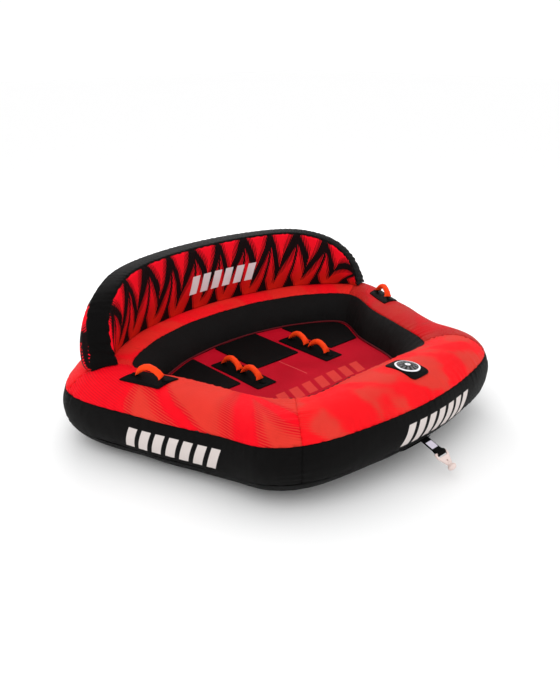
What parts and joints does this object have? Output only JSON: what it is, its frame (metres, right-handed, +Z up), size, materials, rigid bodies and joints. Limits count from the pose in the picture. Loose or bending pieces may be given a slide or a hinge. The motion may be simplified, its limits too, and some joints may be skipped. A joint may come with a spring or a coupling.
{
  "type": "towable tube",
  "caption": "Inflatable towable tube with a sunken seating well, a curved backrest, grab handles and a tow strap with a quick connector.",
  "frame": {"origin": "on the flat underside, in the middle of the seat well", "axes": "+Z up; -Y towards the nose, where the tow rope pulls; +Y towards the backrest; +X to the right as seen from the front, as are left and right in the node names"},
  "size_m": [2.087, 1.8741, 0.715],
  "materials": {
    "cover_red": "printed woven cover cloth, soft sheen",
    "cover_black": "woven cover cloth, soft sheen",
    "neoprene_black": "foam-backed stretch cloth, matte",
    "print_red_black": "printed woven cover cloth, red with black motifs",
    "floor_red": "printed woven floor cloth",
    "vinyl_bladder": "flexible vinyl sheet, semi-gloss",
    "foam_orange": "closed-cell foam tube, matte",
    "webbing_black": "woven nylon webbing",
    "label_white": "printed woven label",
    "nylon_white": "moulded nylon, soft gloss",
    "valve_plastic": "moulded plastic"
  },
  "bodies": {
    "tube": {"main_bladder": "vinyl_bladder", "cover_top_front": "cover_red", "side_band_front": "cover_black", "cover_top_right": "cover_red", "side_band_right": "cover_black", "cover_top_back": "cover_red", "side_band_back": "cover_black", "cover_top_left": "cover_red", "side_band_left": "cover_black", "well_wall": "neoprene_black", "bottom_panel": "cover_black", "floor_panel": "floor_red", "floor_bladder": "vinyl_bladder", "floor_valve": "valve_plastic", "floor_piping": "cover_red", "seat_pad_left": "neoprene_black", "seat_pad_middle": "neoprene_black", "seat_pad_right": "neoprene_black", "handle_strip_left": "webbing_black", "handle_strip_right": "webbing_black", "tube_handle_pad_left": "neoprene_black", "tube_handle_pad_right": "neoprene_black", "backrest_bladder": "vinyl_bladder", "backrest_front_panel": "print_red_black", "backrest_back_panel": "print_red_black", "backrest_gusset": "cover_black", "main_valve_base": "valve_plastic", "backrest_valve_base": "valve_plastic", "tow_anchor_patch": "webbing_black", "zip_tape": "webbing_black"},
    "floor_handle_left_1": {"floor_handle_left_1_grip": "foam_orange", "floor_handle_left_1_webbing": "webbing_black"},
    "floor_handle_left_2": {"floor_handle_left_2_grip": "foam_orange", "floor_handle_left_2_webbing": "webbing_black"},
    "floor_handle_right_1": {"floor_handle_right_1_grip": "foam_orange", "floor_handle_right_1_webbing": "webbing_black"},
    "floor_handle_right_2": {"floor_handle_right_2_grip": "foam_orange", "floor_handle_right_2_webbing": "webbing_black"},
    "tube_handle_left": {"tube_handle_left_grip": "foam_orange", "tube_handle_left_webbing": "webbing_black"},
    "tube_handle_right": {"tube_handle_right_grip": "foam_orange", "tube_handle_right_webbing": "webbing_black"},
    "valve_cover": {"valve_flap": "neoprene_black", "valve_badge": "label_white"},
    "main_valve_cap_body": {"main_valve_cap": "valve_plastic"},
    "backrest_valve_cap_body": {"backrest_valve_cap": "valve_plastic"},
    "tow_strap_body": {"tow_strap": "webbing_black", "strap_label": "label_white"},
    "connector_body": {"quick_connector": "nylon_white"},
    "zip_slider_body": {"zip_slider": "nylon_white"},
    "zip_pull_body": {"zip_pull": "nylon_white"}
  },
  "joints": [
    {"name": "floor_handle_left_1_flop", "type": "hinge", "parent": "tube", "child": "floor_handle_left_1", "pos_m": [-0.235, 0.188, 0.2226], "axis": [0, 1, 0], "range_deg": [-24, 24]},
    {"name": "floor_handle_left_2_flop", "type": "hinge", "parent": "tube", "child": "floor_handle_left_2", "pos_m": [-0.235, 0.036, 0.2226], "axis": [0, 1, 0], "range_deg": [-24, 24]},
    {"name": "tube_handle_left_flop", "type": "hinge", "parent": "tube", "child": "tube_handle_left", "pos_m": [-0.79015, 0.06804, 0.39505], "axis": [-0.3976, 0.9176, 0], "range_deg": [-24, 24]},
    {"name": "floor_handle_right_1_flop", "type": "hinge", "parent": "tube", "child": "floor_handle_right_1", "pos_m": [0.235, 0.188, 0.2226], "axis": [0, 1, 0], "range_deg": [-24, 24]},
    {"name": "floor_handle_right_2_flop", "type": "hinge", "parent": "tube", "child": "floor_handle_right_2", "pos_m": [0.235, 0.036, 0.2226], "axis": [0, 1, 0], "range_deg": [-24, 24]},
    {"name": "tube_handle_right_flop", "type": "hinge", "parent": "tube", "child": "tube_handle_right", "pos_m": [0.79015, 0.06804, 0.39505], "axis": [0.3976, 0.9176, 0], "range_deg": [-24, 24]},
    {"name": "valve_cover_lift", "type": "hinge", "parent": "tube", "child": "valve_cover", "pos_m": [0.04376, -0.58902, 0.41483], "axis": [-0.9997, -0.0229, 0.0031], "range_deg": [0, 150]},
    {"name": "main_valve_cap_turn", "type": "hinge", "parent": "tube", "child": "main_valve_cap_body", "pos_m": [0.05052, -0.67494, 0.41391], "axis": [0.0047, -0.0497, 0.9988], "continuous": true},
    {"name": "backrest_valve_cap_turn", "type": "hinge", "parent": "tube", "child": "backrest_valve_cap_body", "pos_m": [0, 0.76807, 0.5361], "axis": [0, 1, 0], "continuous": true},
    {"name": "tow_strap_swing", "type": "hinge", "parent": "tube", "child": "tow_strap_body", "pos_m": [0, -0.8323, 0.14861], "axis": [1, 0, 0], "range_deg": [-60, 35]},
    {"name": "connector_swing", "type": "hinge", "parent": "tow_strap_body", "child": "connector_body", "pos_m": [0, -0.92118, 0.11801], "axis": [1, 0, 0], "range_deg": [-80, 50]},
    {"name": "zip_slide", "type": "hinge", "parent": "tube", "child": "zip_slider_body", "pos_m": [0, -1.1227, 0.23085], "axis": [0, 0, -1], "range_deg": [0, 22.9]},
    {"name": "zip_pull_swing", "type": "hinge", "parent": "zip_slider_body", "child": "zip_pull_body", "pos_m": [-0.39972, 0.8366, 0.23179], "axis": [0.9787, 0.2053, 0], "range_deg": [0, 110]}
  ]
}
